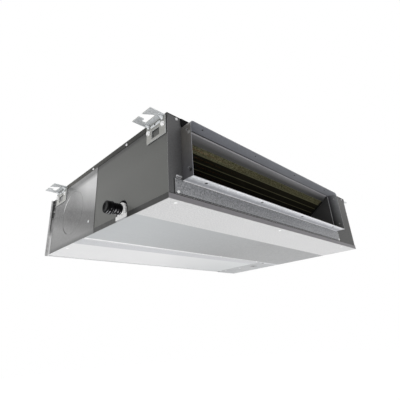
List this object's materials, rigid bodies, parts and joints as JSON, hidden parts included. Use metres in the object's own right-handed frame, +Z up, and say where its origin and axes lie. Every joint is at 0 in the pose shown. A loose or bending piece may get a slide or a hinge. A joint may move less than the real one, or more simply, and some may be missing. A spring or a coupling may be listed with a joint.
{
  "type": "ducted air conditioner indoor unit",
  "caption": "Slim sheet-metal ceiling unit with a rectangular air outlet, slanted coil, rear filter frame, drain outlets and slotted hanging brackets.",
  "frame": {"origin": "centre of the casing's underside", "axes": "+X to the right seen from the outlet side, +Y from the outlet to the return air side, +Z up towards the ceiling"},
  "size_m": [0.986, 0.631, 0.2],
  "materials": {
    "coated_steel": "satin",
    "galvanised_steel": "satin",
    "zinc_bracket": "satin",
    "screw_steel": "satin",
    "fin_aluminium": "satin",
    "tube_copper": "satin",
    "nut_brass": "satin",
    "pan_foam": "matte",
    "black_foam": "matte",
    "black_rubber": "matte",
    "white_plastic": "matte",
    "wheel_plastic": "matte",
    "housing_plastic": "matte",
    "motor_steel": "satin",
    "filter_plastic": "matte",
    "filter_net": "matte",
    "board_green": "matte",
    "terminal_plastic": "matte"
  },
  "bodies": {
    "casing": {"bottom_front_panel": "coated_steel", "bottom_rear_panel": "coated_steel", "bottom_right_plate": "coated_steel", "bottom_screws": "screw_steel", "cable_grommets": "black_rubber", "coil_end_plate_left": "galvanised_steel", "coil_end_plate_right": "galvanised_steel", "coil_top_baffle": "galvanised_steel", "coil_tubes": "tube_copper", "control_board": "board_green", "drain_pan": "pan_foam", "drain_pipe_right": "white_plastic", "drain_spout_left": "white_plastic", "electrical_box": "galvanised_steel", "fan_motor": "motor_steel", "fan_partition": "galvanised_steel", "filter_guides": "galvanised_steel", "fin_pack": "fin_aluminium", "flare_nuts": "nut_brass", "fresh_air_knockout": "coated_steel", "front_foam_strip": "black_foam", "front_left_hanger": "zinc_bracket", "front_panel": "galvanised_steel", "front_right_hanger": "zinc_bracket", "front_screws": "screw_steel", "gas_header": "tube_copper", "gas_pipe": "tube_copper", "hanger_bolts": "screw_steel", "left_housing_lower": "housing_plastic", "left_housing_upper": "housing_plastic", "left_side_front": "galvanised_steel", "left_side_rear": "galvanised_steel", "liquid_header": "tube_copper", "liquid_pipe": "tube_copper", "lower_front_strip": "galvanised_steel", "motor_bands": "galvanised_steel", "motor_cradle": "galvanised_steel", "motor_rubber_rings": "black_rubber", "outlet_collar": "galvanised_steel", "pipe_seals": "black_rubber", "rear_left_hanger": "zinc_bracket", "rear_panel": "galvanised_steel", "rear_right_hanger": "zinc_bracket", "return_frame": "galvanised_steel", "right_housing_lower": "housing_plastic", "right_housing_upper": "housing_plastic", "right_side_front": "galvanised_steel", "right_side_rear": "galvanised_steel", "run_capacitor": "motor_steel", "service_partition": "galvanised_steel", "side_screws": "screw_steel", "terminal_block": "terminal_plastic", "top_insulation": "black_foam", "top_panel": "coated_steel"},
    "fan_rotor": {"left_fan_wheel": "wheel_plastic", "right_fan_wheel": "wheel_plastic", "motor_shaft": "screw_steel"},
    "drain_cap": {"drain_plug": "black_rubber"},
    "air_filter": {"filter_frame": "filter_plastic", "filter_mesh": "filter_net"}
  },
  "joints": [
    {"name": "fan_spin", "type": "hinge", "parent": "casing", "child": "fan_rotor", "pos_m": [-0.0705, 0.13, 0.096], "axis": [1, 0, 0], "continuous": true},
    {"name": "cap_pull", "type": "slide", "parent": "casing", "child": "drain_cap", "axis": [-1, 0, 0], "range_m": [0, 0.03]},
    {"name": "filter_slide", "type": "slide", "parent": "casing", "child": "air_filter", "axis": [0, 0, -1], "range_m": [0, 0.17]}
  ]
}
